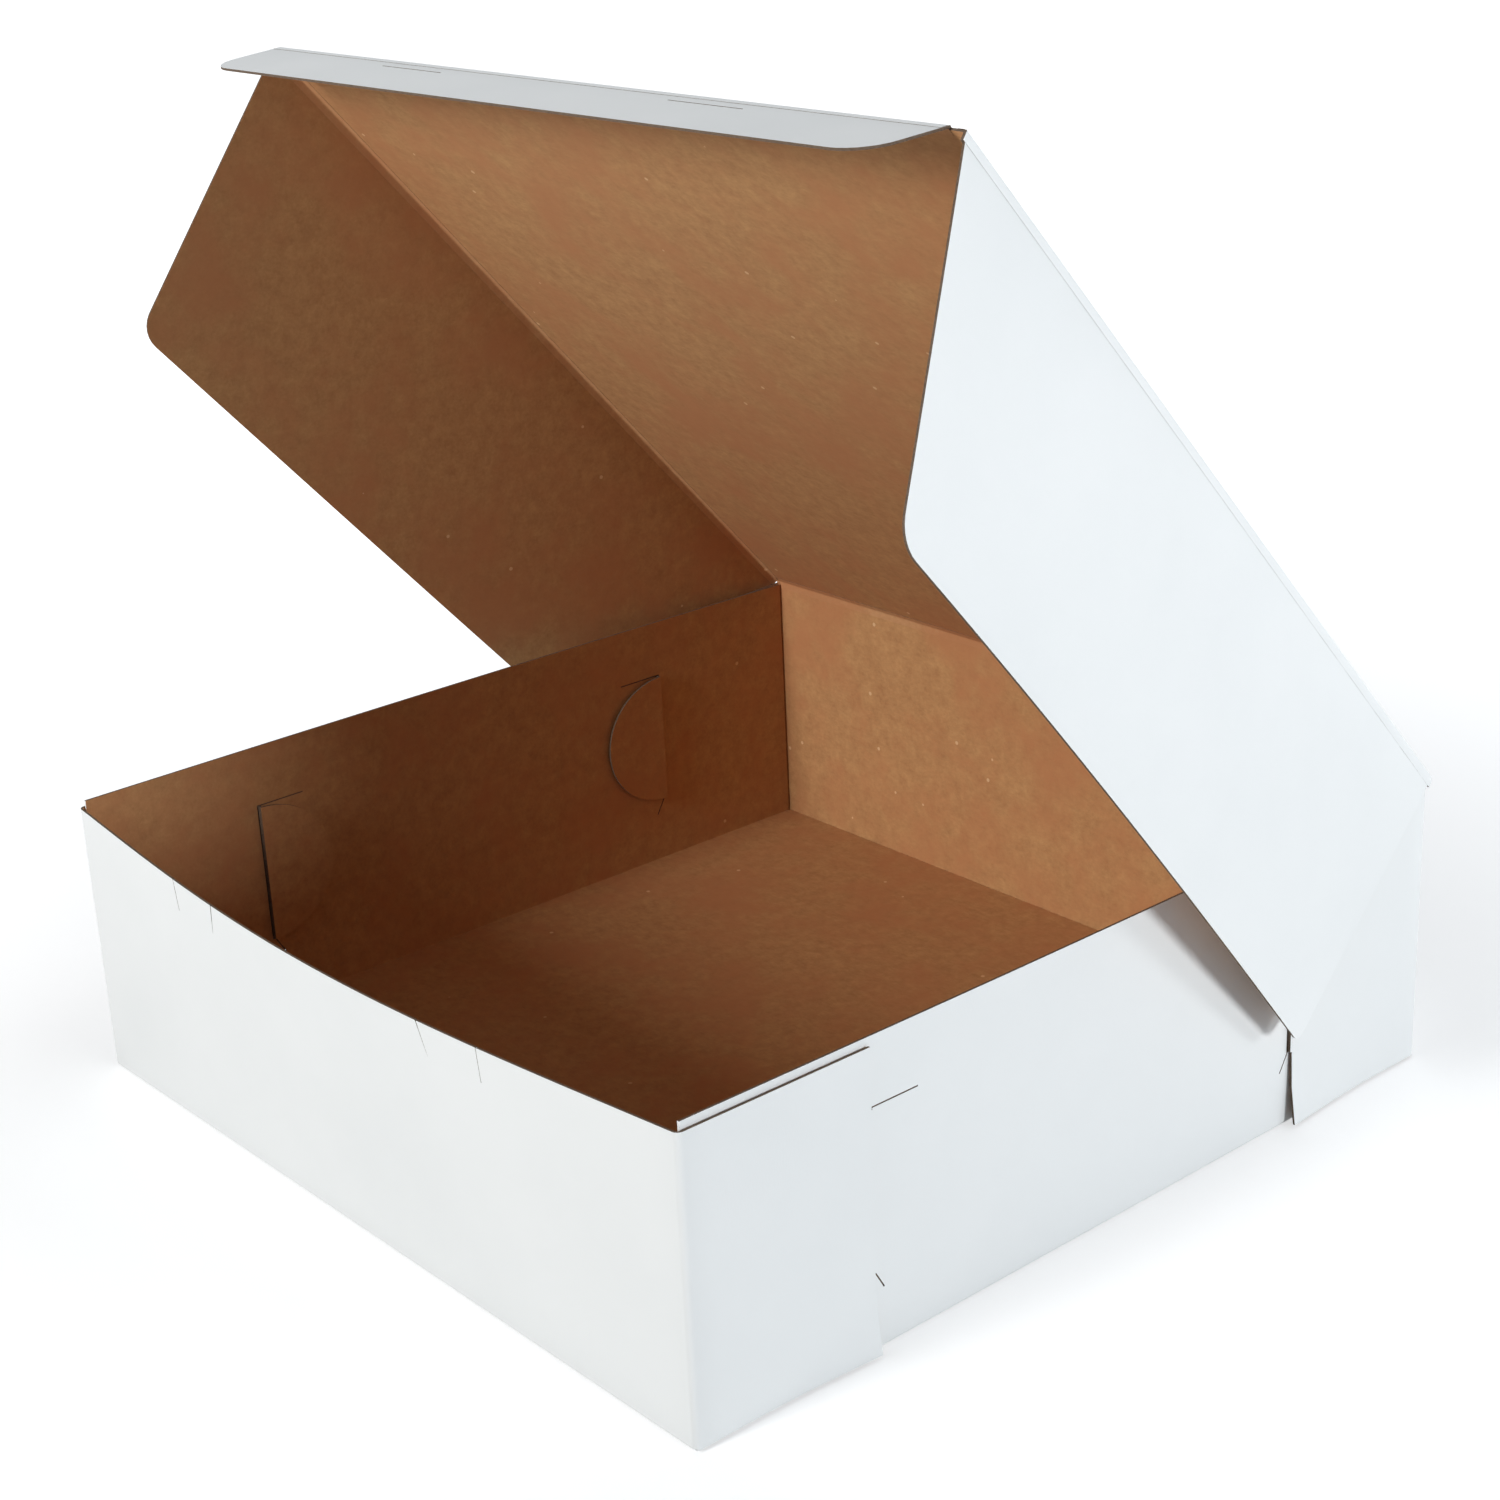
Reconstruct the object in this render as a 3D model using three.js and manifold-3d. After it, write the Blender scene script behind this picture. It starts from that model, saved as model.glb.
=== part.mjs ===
// A square bakery box of thin board, locked at its corners, with its hinged lid standing open.
// X runs along the front wall, -Y is the front and +Z is up. The bottom lies on Z = 0.
import * as THREE from "three";
import { mergeVertices } from "three/addons/utils/BufferGeometryUtils.js";
import Module from "manifold-3d";

const wasm = await Module();
wasm.setup();

// Driving sizes, in millimetres.
const BOARD = 0.5;
const BOX_WIDTH = 203.6; // over the outer faces of the corner flaps
const BOX_DEPTH = 204;
const SIDE_WALL_HEIGHT = 64.2;
const FRONT_WALL_DROP = 1.6; // the front wall and corner flaps end this far below the side walls
const FRONT_WALL_HEIGHT = SIDE_WALL_HEIGHT - FRONT_WALL_DROP;
const LID_CLEARANCE = 0.8; // the lid's fold line above the side walls' top edges
const HINGE_HEIGHT = SIDE_WALL_HEIGHT + LID_CLEARANCE; // above the table
const FRONT_WALL_BOW = 7.5; // the middle of the front wall's top edge springs outwards
const SIDE_WALL_BOW = 0.8;
const CORNER_FLAP_LENGTH = 43;
const CORNER_FLAP_FLARE = 1.6; // the free lower corner of a flap stands off the side wall
const CORNER_FLAP_FLARE_HEIGHT = 14;
const CORNER_FLAP_FLARE_LENGTH = 26;
const LOCK_TAB_MIDDLE_HEIGHT = 33.5;
const LOCK_TAB_HEIGHT = 33;
const LOCK_TAB_REACH = 17.5;
const LOCK_SLIT_ARM = 12;
const LOCK_SLIT_TAIL = 3.5;
const LID_OVERHANG = 1.2; // at each side, past the corner flaps
const LID_WIDTH = BOX_WIDTH + 2 * LID_OVERHANG;
const TUCK_GAP = 0.4; // between the tucked flap and the front wall
const LID_LENGTH = BOX_DEPTH - 2 * BOARD - TUCK_GAP; // from the hinge fold to the tuck flap's fold
const SIDE_FLAP_LIFT = 1.2; // above the table when the lid is closed
const SIDE_FLAP_DEPTH = HINGE_HEIGHT - SIDE_FLAP_LIFT;
const SIDE_FLAP_TAPER = 0.345; // how far the front edge slants back for each millimetre down
const SIDE_FLAP_FRONT_RADIUS = 7;
const SIDE_FLAP_REAR_RADIUS = 2.5;
const TUCK_FLAP_DEPTH = 18.6;
const TUCK_SIDE_GAP = 0.9; // between each end of the tuck flap and a side wall
const TUCK_FLAP_TAPER = 0.6; // narrower at each end before the corner rounding
const TUCK_FLAP_RADIUS = 8;
const LATCH_MIDDLE = 44.5; // of a front wall tab and of its slit, from the middle of the box
const LATCH_TAB_WIDTH = 16;
const LATCH_TAB_DEPTH = 7.3;
const LATCH_TAB_SLANT = 2;
const LATCH_SLIT_LENGTH = 20;
const LATCH_SLIT_FROM_FOLD = 4.3;
const CUT_WIDTH = 0.3;
const FOLD_RADIUS = 0.9; // outside of a folded edge
const CORNER_RADIUS = 1.25; // outside of an upright folded corner

// Angles in degrees.
const LID_OPEN = 48.2; // above the closed lid
const TUCK_FOLD = 53.5; // below the lid's plane
const SIDE_FLAP_SPLAY_REAR = 3.8; // outwards from square to the lid
const SIDE_FLAP_SPLAY_FRONT = 14.2;
const SIDE_FLAP_BELLY = 2.6; // the middle splays this much more than a straight twist

// Clearances between one layer or panel and the next.
const LAYER_GAP = 0.3;
const FOLD_GAP = 0.3;
const CORNER_GAP = 0.6;
const TABLE_GAP = 0.4;

const HALF = BOARD / 2;
const deg = THREE.MathUtils.degToRad;

const whiteBoard = () => new THREE.MeshStandardMaterial({ color: 0xe9ecec, roughness: 0.45, metalness: 0, side: THREE.DoubleSide });

// Joining and cutting.

/** Turns a closed geometry into a solid. */
function solidFrom(geometry) {
  const bare = geometry.clone();
  bare.deleteAttribute("normal");
  bare.deleteAttribute("uv");
  const merged = mergeVertices(bare, 1e-4);
  const vertProperties = new Float32Array(merged.attributes.position.array);
  const triVerts = new Uint32Array(merged.index.array);
  const solid = new wasm.Manifold(new wasm.Mesh({ numProp: 3, vertProperties, triVerts }));
  if (solid.volume() >= 0) return solid;
  for (let i = 0; i < triVerts.length; i += 3) [triVerts[i + 1], triVerts[i + 2]] = [triVerts[i + 2], triVerts[i + 1]];
  return new wasm.Manifold(new wasm.Mesh({ numProp: 3, vertProperties, triVerts }));
}

/** Turns a solid back into a geometry with flat faces. */
function geometryFrom(solid) {
  const mesh = solid.getMesh();
  const geometry = new THREE.BufferGeometry();
  geometry.setAttribute("position", new THREE.BufferAttribute(new Float32Array(mesh.vertProperties), 3));
  geometry.setIndex(new THREE.BufferAttribute(new Uint32Array(mesh.triVerts), 1));
  const flat = geometry.toNonIndexed();
  flat.computeVertexNormals();
  return flat;
}

/** A box between two opposite corners. */
function block(low, high) {
  const box = new THREE.BoxGeometry(high[0] - low[0], high[1] - low[1], high[2] - low[2]);
  box.translate((low[0] + high[0]) / 2, (low[1] + high[1]) / 2, (low[2] + high[2]) / 2);
  return solidFrom(box);
}

/** A solid's mirror image across X or Y. */
function mirrored(geometry, axis) {
  const copy = geometry.clone();
  copy.scale(axis === "x" ? -1 : 1, axis === "y" ? -1 : 1, 1);
  return copy;
}

// Board.

/**
 * A thin panel of board as a closed geometry.
 * `rows` lists { at, half }: how far down the panel a row lies, and half the thickness there.
 * `place(share, at)` gives the middle of the board and its unit normal for a share 0 to 1 across the row.
 */
function boardPanel(columns, rows, place) {
  const corners = [];
  for (const { at, half } of rows)
    for (let c = 0; c <= columns; c++) {
      const { point, normal } = place(c / columns, at);
      corners.push(point.clone().addScaledVector(normal, half), point.clone().addScaledVector(normal, -half));
    }
  const index = [];
  const across = columns + 1;
  const id = (row, column, face) => 2 * (row * across + column) + face;
  const quad = (a, b, c, d) => index.push(a, b, c, a, c, d);
  for (let r = 0; r + 1 < rows.length; r++)
    for (let c = 0; c < columns; c++) {
      quad(id(r, c, 0), id(r, c + 1, 0), id(r + 1, c + 1, 0), id(r + 1, c, 0));
      quad(id(r, c, 1), id(r + 1, c, 1), id(r + 1, c + 1, 1), id(r, c + 1, 1));
    }
  const last = rows.length - 1;
  for (let c = 0; c < columns; c++) {
    quad(id(0, c, 1), id(0, c + 1, 1), id(0, c + 1, 0), id(0, c, 0));
    quad(id(last, c, 0), id(last, c + 1, 0), id(last, c + 1, 1), id(last, c, 1));
  }
  for (let r = 0; r < last; r++) {
    quad(id(r, 0, 0), id(r + 1, 0, 0), id(r + 1, 0, 1), id(r, 0, 1));
    quad(id(r, columns, 1), id(r + 1, columns, 1), id(r + 1, columns, 0), id(r, columns, 0));
  }
  const geometry = new THREE.BufferGeometry();
  geometry.setAttribute("position", new THREE.Float32BufferAttribute(corners.flatMap((v) => v.toArray()), 3));
  geometry.setIndex(index);
  return geometry;
}

/** Rows of even steps from one place to another, all of full thickness. */
function evenRows(from, to, steps) {
  return Array.from({ length: steps + 1 }, (_, i) => ({ at: from + ((to - from) * i) / steps, half: HALF }));
}

/** Rows of the rounded root that a panel turns on, with its middle at 0. */
function rootRows() {
  const turns = [80, 50, 25];
  return turns.map((turn) => ({ at: -HALF * Math.sin(deg(turn)), half: HALF * Math.cos(deg(turn)) }));
}

/** Rows that round a panel's last corners, over the last `radius` before `depth`. */
function roundedRows(depth, radius, steps) {
  return Array.from({ length: steps }, (_, i) => {
    const turn = ((i + 1) / steps) * (Math.PI / 2);
    return { at: depth - radius + radius * Math.sin(turn), half: HALF };
  });
}

// The base tray. A wall leans out by its bow, so its top also drops a little.

const frontMiddle = -BOX_DEPTH / 2 + HALF;
const flapMiddle = BOX_WIDTH / 2 - HALF;
const sideMiddle = flapMiddle - BOARD - LAYER_GAP;
const tabMiddle = sideMiddle - BOARD - LAYER_GAP;
const bendRadius = CORNER_RADIUS - HALF;
const flapEnd = BOX_DEPTH / 2 - CORNER_FLAP_LENGTH; // distance of a flap's free end from the middle
const innerWidth = 2 * (sideMiddle - HALF);
const tuckWidth = innerWidth - 2 * TUCK_SIDE_GAP;

const frontBow = (x, height) => FRONT_WALL_BOW * Math.cos((Math.PI * x) / BOX_WIDTH) * (height / FRONT_WALL_HEIGHT);
const sideBow = (y, height) => SIDE_WALL_BOW * Math.cos((Math.PI * y) / BOX_DEPTH) * (height / SIDE_WALL_HEIGHT);

/** How far the folded bottom edge pulls in at a height. */
function foldInset(height) {
  if (height >= FOLD_RADIUS) return 0;
  return FOLD_RADIUS - Math.sqrt(FOLD_RADIUS ** 2 - (FOLD_RADIUS - height) ** 2);
}

/** Heights up a wall: close together round the fold, then even. */
function wallRows(top, steps) {
  const fold = [0, 0.12, 0.4].map((share) => ({ at: share * FOLD_RADIUS, half: HALF }));
  return [...fold, ...evenRows(FOLD_RADIUS, top, steps)];
}

/** How far a corner flap's free lower corner stands off the wall. */
function flare(y, height) {
  const along = 1 - (Math.abs(y) - flapEnd) / CORNER_FLAP_FLARE_LENGTH;
  const up = 1 - height / CORNER_FLAP_FLARE_HEIGHT;
  return along > 0 && up > 0 ? CORNER_FLAP_FLARE * along ** 1.5 * up ** 1.5 : 0;
}

/**
 * An end wall with its two corner flaps: one strip folded round both corners.
 * It is drawn as the front wall; `bow(x, height)` leans it out, and a flap's top slopes from `wallTop` to the front wall's height.
 */
function endStrip(wallTop, bow, wallColumns) {
  const flapColumns = 9;
  const cornerColumns = 4;
  const stations = [];
  const bendX = flapMiddle - bendRadius;
  const bendY = frontMiddle + bendRadius;
  for (let i = 0; i < flapColumns; i++) {
    const y = -flapEnd + ((bendY + flapEnd) * i) / flapColumns;
    stations.push({ x: -flapMiddle, y, turn: 0 });
  }
  for (let i = 0; i < cornerColumns; i++) {
    const turn = (i / cornerColumns) * (Math.PI / 2);
    stations.push({ x: -bendX - bendRadius * Math.cos(turn), y: bendY - bendRadius * Math.sin(turn), turn });
  }
  const half = wallColumns / 2;
  for (let i = 0; i <= half; i++) stations.push({ x: -bendX + (bendX * i) / half, y: frontMiddle, turn: Math.PI / 2 });
  const left = stations.slice(0, -1);
  const right = left.reverse().map(({ x, y, turn }) => ({ x: -x, y, turn: Math.PI - turn }));
  stations.push(...right);
  const place = (share, at) => {
    const { x, y, turn } = stations[Math.round(share * (stations.length - 1))];
    const facing = Math.sin(turn); // 1 on the end wall, 0 on a flap
    const nearFold = Math.max(facing, (Math.abs(y) - flapEnd) / CORNER_FLAP_LENGTH); // 0 at a flap's free end
    const top = THREE.MathUtils.lerp(FRONT_WALL_HEIGHT, wallTop, Math.min(1, nearFold));
    const foot = TABLE_GAP * (1 - facing);
    const height = foot + ((top - foot) * at) / wallTop;
    const outward = facing * (bow(x, height) - foldInset(height));
    const side = Math.sign(x) * (1 - facing) * (sideBow(y, height) + flare(y, height));
    const normal = new THREE.Vector3(-Math.cos(turn), -facing, 0);
    const rise = Math.sqrt(height ** 2 - (facing * bow(x, height)) ** 2);
    return { point: new THREE.Vector3(x + side, y - outward, rise), normal };
  };
  return boardPanel(stations.length - 1, wallRows(wallTop, 8), place);
}

/** The right side wall, from just behind the front wall to just before the back wall. */
function sideWall() {
  const reach = BOX_DEPTH / 2 - BOARD - CORNER_GAP;
  const place = (share, height) => {
    const y = -reach + 2 * reach * share;
    const point = new THREE.Vector3(sideMiddle + sideBow(y, height) - foldInset(height), y, height);
    return { point, normal: new THREE.Vector3(1, 0, 0) };
  };
  return boardPanel(16, wallRows(SIDE_WALL_HEIGHT, 4), place);
}

/** The cut in a side wall that a lock tab goes through: an upright slit, an arm at its top and a tail below. */
function lockSlit() {
  const low = LOCK_TAB_MIDDLE_HEIGHT - LOCK_TAB_HEIGHT / 2 - CUT_WIDTH;
  const high = LOCK_TAB_MIDDLE_HEIGHT + LOCK_TAB_HEIGHT / 2 + CUT_WIDTH;
  const inner = sideMiddle - BOARD;
  const outer = sideMiddle + BOARD + SIDE_WALL_BOW;
  const near = -flapEnd - CUT_WIDTH;
  const far = -flapEnd + BOARD + CUT_WIDTH;
  const slit = block([inner, near, low], [outer, far, high]);
  const arm = block([inner, near, high - CUT_WIDTH], [outer, -flapEnd + LOCK_SLIT_ARM, high]);
  const tail = new THREE.BoxGeometry(outer - inner, CUT_WIDTH, LOCK_SLIT_TAIL * 1.5);
  tail.rotateX(deg(30));
  tail.translate((inner + outer) / 2, far + LOCK_SLIT_TAIL * 0.2, low - LOCK_SLIT_TAIL * 0.5);
  return slit.add(arm).add(solidFrom(tail));
}

/** A flap's lock tab: a web through the side wall, then a D that lies flat on the inside. */
function lockTab() {
  const low = LOCK_TAB_MIDDLE_HEIGHT - LOCK_TAB_HEIGHT / 2;
  const outline = new THREE.Shape();
  outline.moveTo(-flapEnd, low);
  outline.absellipse(-flapEnd, LOCK_TAB_MIDDLE_HEIGHT, LOCK_TAB_REACH, LOCK_TAB_HEIGHT / 2, -Math.PI / 2, Math.PI / 2, false);
  outline.closePath();
  const tab = new THREE.ExtrudeGeometry(outline, { depth: BOARD, bevelEnabled: false, curveSegments: 20 });
  // The outline's X and Y become the box's Y and Z, and its depth becomes X.
  tab.applyMatrix4(new THREE.Matrix4().set(0, 0, 1, tabMiddle - HALF, 1, 0, 0, 0, 0, 1, 0, 0, 0, 0, 0, 1));
  const outside = flapMiddle + sideBow(flapEnd, LOCK_TAB_MIDDLE_HEIGHT) + HALF / 2;
  const web = block([tabMiddle - HALF, -flapEnd, low], [outside, -flapEnd + BOARD, low + LOCK_TAB_HEIGHT]);
  const root = block([flapMiddle - HALF, -flapEnd - BOARD, low], [outside, -flapEnd + HALF, low + LOCK_TAB_HEIGHT]);
  return solidFrom(tab).add(web).add(root);
}

/** The two cuts that free one small latch tab in the front wall's top edge. */
function latchCuts(side) {
  const top = FRONT_WALL_HEIGHT + BOARD;
  const deep = LATCH_TAB_DEPTH + BOARD;
  const cut = (x, slant) => {
    const slot = new THREE.BoxGeometry(CUT_WIDTH, 2 * FRONT_WALL_BOW, deep);
    slot.rotateY(-side * Math.atan2(slant, deep));
    slot.translate(side * x, frontMiddle - FRONT_WALL_BOW / 2, top - deep / 2);
    return solidFrom(slot);
  };
  const outer = cut(LATCH_MIDDLE + LATCH_TAB_WIDTH / 2, 0);
  const inner = cut(LATCH_MIDDLE - LATCH_TAB_WIDTH / 2, LATCH_TAB_SLANT);
  return outer.add(inner);
}

function makeTray() {
  const front = solidFrom(endStrip(FRONT_WALL_HEIGHT, frontBow, 32)).subtract(latchCuts(1)).subtract(latchCuts(-1));
  const backTop = HINGE_HEIGHT - HALF - FOLD_GAP;
  const back = solidFrom(mirrored(endStrip(backTop, () => 0, 2), "y"));
  const edgeX = sideMiddle - HALF;
  const edgeY = BOX_DEPTH / 2 - FOLD_RADIUS;
  const acrossBottom = block([-edgeX, -edgeY + CORNER_GAP, 0], [edgeX, edgeY - CORNER_GAP, BOARD]);
  const alongBottom = block([-edgeX + CORNER_GAP, -edgeY, 0], [edgeX - CORNER_GAP, edgeY, BOARD]);
  let tray = front.add(back).add(acrossBottom).add(alongBottom);
  const slitFront = geometryFrom(lockSlit());
  const slits = solidFrom(slitFront).add(solidFrom(mirrored(slitFront, "y")));
  const wall = geometryFrom(solidFrom(sideWall()).subtract(slits));
  const tabFront = geometryFrom(lockTab());
  for (const side of [wall, tabFront, mirrored(tabFront, "y")]) tray = tray.add(solidFrom(side)).add(solidFrom(mirrored(side, "x")));
  return geometryFrom(tray);
}

// The lid and its flaps. Each is drawn in its own frame, with the fold it turns on at the origin.

const lidHalf = LID_WIDTH / 2 - HALF; // from the middle to a side flap's fold
const lidInset = HALF + FOLD_GAP; // a panel stops this far before the next fold

/** The lid panel, closed: it runs from the hinge towards -Y. */
function makeLid() {
  const edge = lidHalf - lidInset;
  const rows = [...rootRows(), ...evenRows(0, LID_LENGTH - lidInset, 1)];
  const place = (share, at) => ({
    point: new THREE.Vector3(-edge + 2 * edge * share, -at, 0),
    normal: new THREE.Vector3(0, 0, 1),
  });
  return geometryFrom(solidFrom(boardPanel(1, rows, place)));
}

/** The front tuck flap, unfolded flat: it runs from its fold towards -Y. */
function makeTuckFlap() {
  const straight = TUCK_FLAP_DEPTH - TUCK_FLAP_RADIUS;
  const rows = [...rootRows(), ...evenRows(0, straight, 1), ...roundedRows(TUCK_FLAP_DEPTH, TUCK_FLAP_RADIUS, 7)];
  const halfWidth = (at) => {
    const past = Math.max(0, at - straight);
    const taper = TUCK_FLAP_TAPER * THREE.MathUtils.clamp(at / straight, 0, 1);
    return tuckWidth / 2 - taper - TUCK_FLAP_RADIUS + Math.sqrt(TUCK_FLAP_RADIUS ** 2 - past ** 2);
  };
  const place = (share, at) => ({
    point: new THREE.Vector3(halfWidth(at) * (2 * share - 1), -at, 0),
    normal: new THREE.Vector3(0, 0, 1),
  });
  let flap = solidFrom(boardPanel(1, rows, place));
  for (const side of [-1, 1]) {
    const middle = side * LATCH_MIDDLE;
    const low = [middle - LATCH_SLIT_LENGTH / 2, -LATCH_SLIT_FROM_FOLD - CUT_WIDTH, -BOARD];
    const high = [middle + LATCH_SLIT_LENGTH / 2, -LATCH_SLIT_FROM_FOLD, BOARD];
    flap = flap.subtract(block(low, high));
  }
  return geometryFrom(flap);
}

/**
 * A side flap of the lid, hanging square from the right edge, with the hinge end at y = 0.
 * It twists: its splay grows from the hinge end to the front.
 */
function makeSideFlap() {
  const depth = SIDE_FLAP_DEPTH;
  const slope = Math.hypot(1, SIDE_FLAP_TAPER);
  const roundStart = depth - SIDE_FLAP_FRONT_RADIUS;
  const frontAtFold = LID_LENGTH - lidInset;
  const roundCentre = frontAtFold - SIDE_FLAP_TAPER * roundStart - SIDE_FLAP_FRONT_RADIUS * slope;
  const tangentAt = roundStart + (SIDE_FLAP_FRONT_RADIUS * SIDE_FLAP_TAPER) / slope;
  const frontEdge = (at) => {
    if (at < tangentAt) return frontAtFold - SIDE_FLAP_TAPER * Math.max(0, at);
    return roundCentre + Math.sqrt(Math.max(0, SIDE_FLAP_FRONT_RADIUS ** 2 - (at - roundStart) ** 2));
  };
  const rearEdge = (at) => {
    const past = Math.max(0, at - (depth - SIDE_FLAP_REAR_RADIUS));
    return lidInset + SIDE_FLAP_REAR_RADIUS - Math.sqrt(SIDE_FLAP_REAR_RADIUS ** 2 - past ** 2);
  };
  const rounding = roundedRows(depth, SIDE_FLAP_FRONT_RADIUS, 8);
  const rows = [...rootRows(), ...evenRows(0, roundStart, 5), ...rounding];
  const place = (share, at) => {
    const along = THREE.MathUtils.lerp(rearEdge(at), frontEdge(at), share);
    const reach = along / LID_LENGTH;
    const twist = THREE.MathUtils.lerp(SIDE_FLAP_SPLAY_REAR, SIDE_FLAP_SPLAY_FRONT, reach);
    const splay = deg(twist + SIDE_FLAP_BELLY * 4 * reach * (1 - reach));
    const point = new THREE.Vector3(at * Math.sin(splay), -along, -at * Math.cos(splay));
    return { point, normal: new THREE.Vector3(Math.cos(splay), 0, Math.sin(splay)) };
  };
  return geometryFrom(solidFrom(boardPanel(14, rows, place)));
}

/** A named mesh with its own material. */
function piece(name, geometry) {
  const mesh = new THREE.Mesh(geometry, whiteBoard());
  mesh.name = name;
  return mesh;
}

const box = new THREE.Group();
box.add(piece("base_tray", makeTray()));

const lid = new THREE.Group();
lid.position.set(0, BOX_DEPTH / 2 - HALF, HINGE_HEIGHT);
lid.rotation.x = -deg(LID_OPEN);
lid.add(piece("lid_panel", makeLid()));
box.add(lid);

const tuck = piece("front_tuck_flap", makeTuckFlap());
tuck.position.y = -LID_LENGTH;
tuck.rotation.x = deg(TUCK_FOLD);
lid.add(tuck);

const rightFlap = piece("right_side_flap", makeSideFlap());
rightFlap.position.x = lidHalf;
lid.add(rightFlap);

const leftFlap = piece("left_side_flap", geometryFrom(solidFrom(mirrored(makeSideFlap(), "x"))));
leftFlap.position.x = -lidHalf;
lid.add(leftFlap);

export default box;
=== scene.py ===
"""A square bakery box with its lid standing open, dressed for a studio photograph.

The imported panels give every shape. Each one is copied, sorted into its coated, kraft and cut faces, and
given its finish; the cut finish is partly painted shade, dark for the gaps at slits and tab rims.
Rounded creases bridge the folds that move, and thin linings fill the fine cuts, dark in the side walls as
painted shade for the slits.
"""

import logging
import math
from dataclasses import dataclass, field
from enum import Enum
from typing import Any, Callable, Sequence

import bmesh
import bpy
from mathutils import Matrix, Vector


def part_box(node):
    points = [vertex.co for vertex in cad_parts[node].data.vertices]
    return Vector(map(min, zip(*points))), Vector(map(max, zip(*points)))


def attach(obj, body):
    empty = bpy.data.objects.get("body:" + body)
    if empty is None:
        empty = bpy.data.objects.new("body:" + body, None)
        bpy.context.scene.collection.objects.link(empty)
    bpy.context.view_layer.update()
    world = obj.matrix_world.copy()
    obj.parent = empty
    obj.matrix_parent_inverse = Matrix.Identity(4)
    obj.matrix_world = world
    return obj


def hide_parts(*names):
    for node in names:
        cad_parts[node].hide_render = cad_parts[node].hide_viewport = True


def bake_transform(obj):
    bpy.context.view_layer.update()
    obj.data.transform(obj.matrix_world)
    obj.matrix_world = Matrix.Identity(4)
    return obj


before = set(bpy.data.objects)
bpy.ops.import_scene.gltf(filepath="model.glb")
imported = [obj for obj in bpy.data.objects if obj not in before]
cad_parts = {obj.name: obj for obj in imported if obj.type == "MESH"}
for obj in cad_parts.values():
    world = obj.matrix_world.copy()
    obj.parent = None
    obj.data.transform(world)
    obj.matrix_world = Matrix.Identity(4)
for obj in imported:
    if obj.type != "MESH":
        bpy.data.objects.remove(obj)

log = logging.getLogger("bakery_box")

MM = 0.001
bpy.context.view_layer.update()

# The box's own sizes, in millimetres and degrees.
BOX_WIDTH = 203.6
BOX_DEPTH = 204.0
BOARD = 0.5
SIDE_WALL_HEIGHT = 64.2
SIDE_WALL_BOW = 0.8
FRONT_WALL_HEIGHT = 62.6
FRONT_WALL_BOW = 7.5
HINGE_HEIGHT = 65.0
LID_WIDTH = 206.0
LID_LENGTH = 202.6
LID_OPEN = 48.2
TUCK_FOLD = 53.5
FOLD_GAP = 0.3
FOLD_RADIUS = 0.9
CORNER_RADIUS = 1.25
CORNER_FLAP_LENGTH = 43.0
FLAP_END = BOX_DEPTH / 2 - CORNER_FLAP_LENGTH
SIDE_WALL_MIDDLE = 100.75

HINGE_POINT = Vector((0, (BOX_DEPTH - BOARD) / 2, HINGE_HEIGHT)) * MM
LID_DOWN = Vector((0, -math.cos(math.radians(LID_OPEN)), math.sin(math.radians(LID_OPEN))))
LID_OUTSIDE = Vector((0, math.sin(math.radians(LID_OPEN)), math.cos(math.radians(LID_OPEN))))


# How nearly a face's normal must lie along a direction to count as facing that way.
FACING = 0.6


class Face(Enum):
    """Which side of the board a face belongs to; the value is its material index."""

    OUTSIDE = 0
    INSIDE = 1
    # Cut edges, whose dark finish is partly painted shade for the gaps at slits and tab rims.
    CUT = 2


# Shader expressions.


@dataclass(frozen=True)
class Value:
    """One output socket of a shader tree, usable in Python arithmetic."""

    tree: bpy.types.NodeTree
    socket: bpy.types.NodeSocket

    def _math(self, operation: str, first: Any, second: Any) -> "Value":
        """Adds a Math node for one operation on two values or numbers."""
        node = self.tree.nodes.new("ShaderNodeMath")
        node.operation = operation
        for slot, operand in zip(node.inputs, (first, second)):
            if isinstance(operand, Value):
                self.tree.links.new(operand.socket, slot)
            else:
                slot.default_value = operand
        return Value(self.tree, node.outputs[0])

    def __add__(self, other: Any) -> "Value":
        """The sum."""
        return self._math("ADD", self, other)

    __radd__ = __add__

    def __sub__(self, other: Any) -> "Value":
        """The difference."""
        return self._math("SUBTRACT", self, other)

    def __rsub__(self, other: Any) -> "Value":
        """The difference with this value last."""
        return self._math("SUBTRACT", other, self)

    def __mul__(self, other: Any) -> "Value":
        """The product."""
        return self._math("MULTIPLY", self, other)

    __rmul__ = __mul__

    def __truediv__(self, other: Any) -> "Value":
        """The quotient."""
        return self._math("DIVIDE", self, other)

    def __rtruediv__(self, other: Any) -> "Value":
        """The quotient with this value below."""
        return self._math("DIVIDE", other, self)

    def below(self, limit: Any) -> "Value":
        """1 where this value is below the limit, else 0."""
        return self._math("LESS_THAN", self, limit)

    def larger(self, other: Any) -> "Value":
        """The larger of two values."""
        return self._math("MAXIMUM", self, other)

    def smaller(self, other: Any) -> "Value":
        """The smaller of two values."""
        return self._math("MINIMUM", self, other)


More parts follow.
